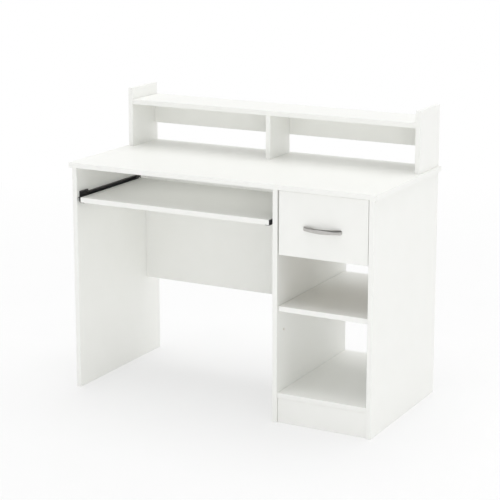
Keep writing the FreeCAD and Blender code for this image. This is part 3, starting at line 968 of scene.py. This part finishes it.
def studio_floor_finish():
    """Matt floor, blended for the camera into plain white, more so with the distance from the desk; that
    white is a little dimmer near the desk, a faint painted shade.
    """
    material = bpy.data.materials.new("pale_floor")
    material.use_nodes = True
    tree = material.node_tree
    matt = tree.nodes["Principled BSDF"]
    matt.inputs["Roughness"].default_value = FLOOR_ROUGHNESS
    matt.inputs["Specular IOR Level"].default_value = FLOOR_SHEEN
    place = add_node(tree, "ShaderNodeTexCoord").outputs["Object"]
    drift = {"Scale": 1 / FLOOR_PATCH, "Detail": TONE_DETAIL}
    paint = add_node(tree, "ShaderNodeTexNoise", drift, {"Vector": place}).outputs["Fac"]
    tree.links.new(blend_colours(tree, paint, *FLOOR_COLOURS), matt.inputs["Base Color"])
    away = add_node(tree, "ShaderNodeVectorMath", links={0: place})
    away.operation = "LENGTH"
    reach = {"From Min": SHADOW_REACH[0], "From Max": SHADOW_REACH[1], "To Max": 1.0}
    far = {"Value": away.outputs["Value"]}
    share = add_node(tree, "ShaderNodeMapRange", {**reach, "To Min": NEAR_WHITE}, far)
    # Painted shade: the white the camera sees starts a little dimmer near the desk and reaches full white
    # far out.
    level = add_node(tree, "ShaderNodeMapRange", {**reach, "To Min": PAINTED_SHADE_WHITE}, far)
    white = add_node(tree, "ShaderNodeEmission", links={"Strength": level.outputs["Result"]})
    seen = larger(tree, seen_plainly(tree), light_path(tree, "Is Glossy Ray"))
    factor = add_node(tree, "ShaderNodeMath", links={0: seen, 1: share.outputs["Result"]})
    factor.operation = "MULTIPLY"
    blend = add_node(
        tree,
        "ShaderNodeMixShader",
        links={0: factor.outputs["Value"], 1: matt.outputs["BSDF"], 2: white.outputs["Emission"]},
    )
    tree.links.new(blend.outputs["Shader"], tree.nodes["Material Output"].inputs["Surface"])
    return material


floor_shape = bmesh.new()
bmesh.ops.create_grid(floor_shape, x_segments=1, y_segments=1, size=FLOOR_HALF)
floor = new_piece("studio_floor", floor_shape, [studio_floor_finish()])

# Light: a white surround, brighter behind the desk, and a broad soft lamp overhead do most of the work.
# A low lamp at the front right opens the shadows, as do small ones over the tray and in the knee space.
# Metal mirrors a white screen at the front left and behind, and a dark ceiling, but not the lamps.

SURROUND = 0.665
SURROUND_BEHIND = 0.95
CEILING_FROM = (0.25, 0.55)
CEILING_SEEN = 0.15
SCREEN_WAY = (-0.5, -0.866, 0)
SCREEN_EDGE = (0.5, 0.9)
BESIDE_SCREEN = 0.1
REAR_EDGE = (-0.1, 0.2)
OVERHEAD_SPREAD = math.radians(60)
LAMP_ROOM = 0.0005
TRAY_LAMP_BACK = 0.03
KNEE_LAMP_DEPTH, KNEE_LAMP_HEIGHT = -0.05, 0.33

world = bpy.data.worlds.new("studio")
bpy.context.scene.world = world
world.use_nodes = True
sky = world.node_tree
surround = sky.nodes["Background"]
surround.inputs["Color"].default_value = (1, 1, 1, 1)
ways = add_node(sky, "ShaderNodeTexCoord").outputs["Generated"]
way = add_node(sky, "ShaderNodeSeparateXYZ", links={"Vector": ways}).outputs
lit = add_node(
    sky,
    "ShaderNodeMapRange",
    {"From Min": 0.0, "From Max": 1.0, "To Min": SURROUND, "To Max": SURROUND_BEHIND},
    {"Value": way["Y"]},
)
toward = add_node(sky, "ShaderNodeVectorMath", {1: SCREEN_WAY}, {0: ways})
toward.operation = "DOT_PRODUCT"
screen = add_node(
    sky,
    "ShaderNodeMapRange",
    {"From Min": SCREEN_EDGE[0], "From Max": SCREEN_EDGE[1], "To Min": BESIDE_SCREEN, "To Max": 1.0},
    {"Value": toward.outputs["Value"]},
)
rear = add_node(
    sky, "ShaderNodeMapRange", {"From Min": REAR_EDGE[0], "From Max": REAR_EDGE[1]}, {"Value": way["Y"]}
)
around = larger(sky, screen.outputs["Result"], rear.outputs["Result"])
mirrored = add_node(
    sky,
    "ShaderNodeMapRange",
    {"From Min": CEILING_FROM[0], "From Max": CEILING_FROM[1], "To Max": CEILING_SEEN},
    {"Value": way["Z"], "To Min": around},
)
glossy = light_path(sky, "Is Glossy Ray")
shone = add_node(
    sky,
    "ShaderNodeMapRange",
    links={"Value": glossy, "To Min": lit.outputs["Result"], "To Max": mirrored.outputs["Result"]},
)
level = add_node(
    sky,
    "ShaderNodeMapRange",
    {"To Max": 1.0},
    {"Value": seen_plainly(sky), "To Min": shone.outputs["Result"]},
)
sky.links.new(level.outputs["Result"], surround.inputs["Strength"])


def hang_lamp(name, kind, power, place, aim):
    """A lamp at a place, turned to shine at its aim."""
    lamp = bpy.data.lights.new(name, kind)
    lamp.energy = power
    holder = bpy.data.objects.new(name, lamp)
    holder.location = place
    holder.rotation_mode = "QUATERNION"
    holder.rotation_quaternion = (Vector(place) - Vector(aim)).to_track_quat("Z", "Y")
    holder.visible_camera = False
    holder.visible_glossy = False
    bpy.context.scene.collection.objects.link(holder)
    return lamp


def hang_panel(name, power, place, aim, size, beam=180):
    """A flat lamp with a broad soft face, whose beam can be narrowed."""
    lamp = hang_lamp(name, "AREA", power, place, aim)
    lamp.shape = "RECTANGLE"
    lamp.size, lamp.size_y = size
    lamp.spread = math.radians(beam)


overhead = hang_lamp("overhead_lamp", "SUN", power=1.22, place=(0.2, 0.3, 4.6), aim=(0, 0, 0.6))
overhead.angle = OVERHEAD_SPREAD
hang_panel("low_lamp", power=38, place=(3.2, -5.0, 0.75), aim=(0, 0, 0.66), size=(3.0, 0.8))
tray_middle = sum(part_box("keyboard_tray"), Vector()) / 2
under_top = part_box("desktop")[0].z
tray_lamp_place = Vector((tray_middle.x, tray_middle.y + TRAY_LAMP_BACK, under_top - LAMP_ROOM))
hang_panel("tray_lamp", power=0.138, place=tray_lamp_place, aim=tray_lamp_place - Z, size=(0.6, 0.26))
knee_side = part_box("centre_partition")[0].x
knee_lamp_place = Vector((knee_side - LAMP_ROOM, KNEE_LAMP_DEPTH, KNEE_LAMP_HEIGHT))
hang_panel(
    "knee_lamp", power=0.085, place=knee_lamp_place, aim=knee_lamp_place - X, size=(0.30, 0.42), beam=80
)

# Camera: a long lens at the front right, a little above the desk.
# The lens is shifted on the camera's back by as much as the photograph's framing needs.

CAMERA_PLACE = Vector((2.3297, -4.3694, 1.7046))
AZIMUTH = math.radians(28.164)
ELEVATION = math.radians(12.252)
LENS = 115.44
SENSOR = 36
LIFT = -0.10

lens = bpy.data.cameras.new("camera")
lens.sensor_width = SENSOR
lens.lens = LENS
lens.shift_y = LIFT
camera = bpy.data.objects.new("camera", lens)
back = Vector(
    (
        math.sin(AZIMUTH) * math.cos(ELEVATION),
        -math.cos(AZIMUTH) * math.cos(ELEVATION),
        math.sin(ELEVATION),
    )
)
camera.location = CAMERA_PLACE
camera.rotation_mode = "QUATERNION"
camera.rotation_quaternion = back.to_track_quat("Z", "Y")
bpy.context.scene.collection.objects.link(camera)
bpy.context.scene.camera = camera
bpy.context.scene.view_settings.view_transform = "Standard"
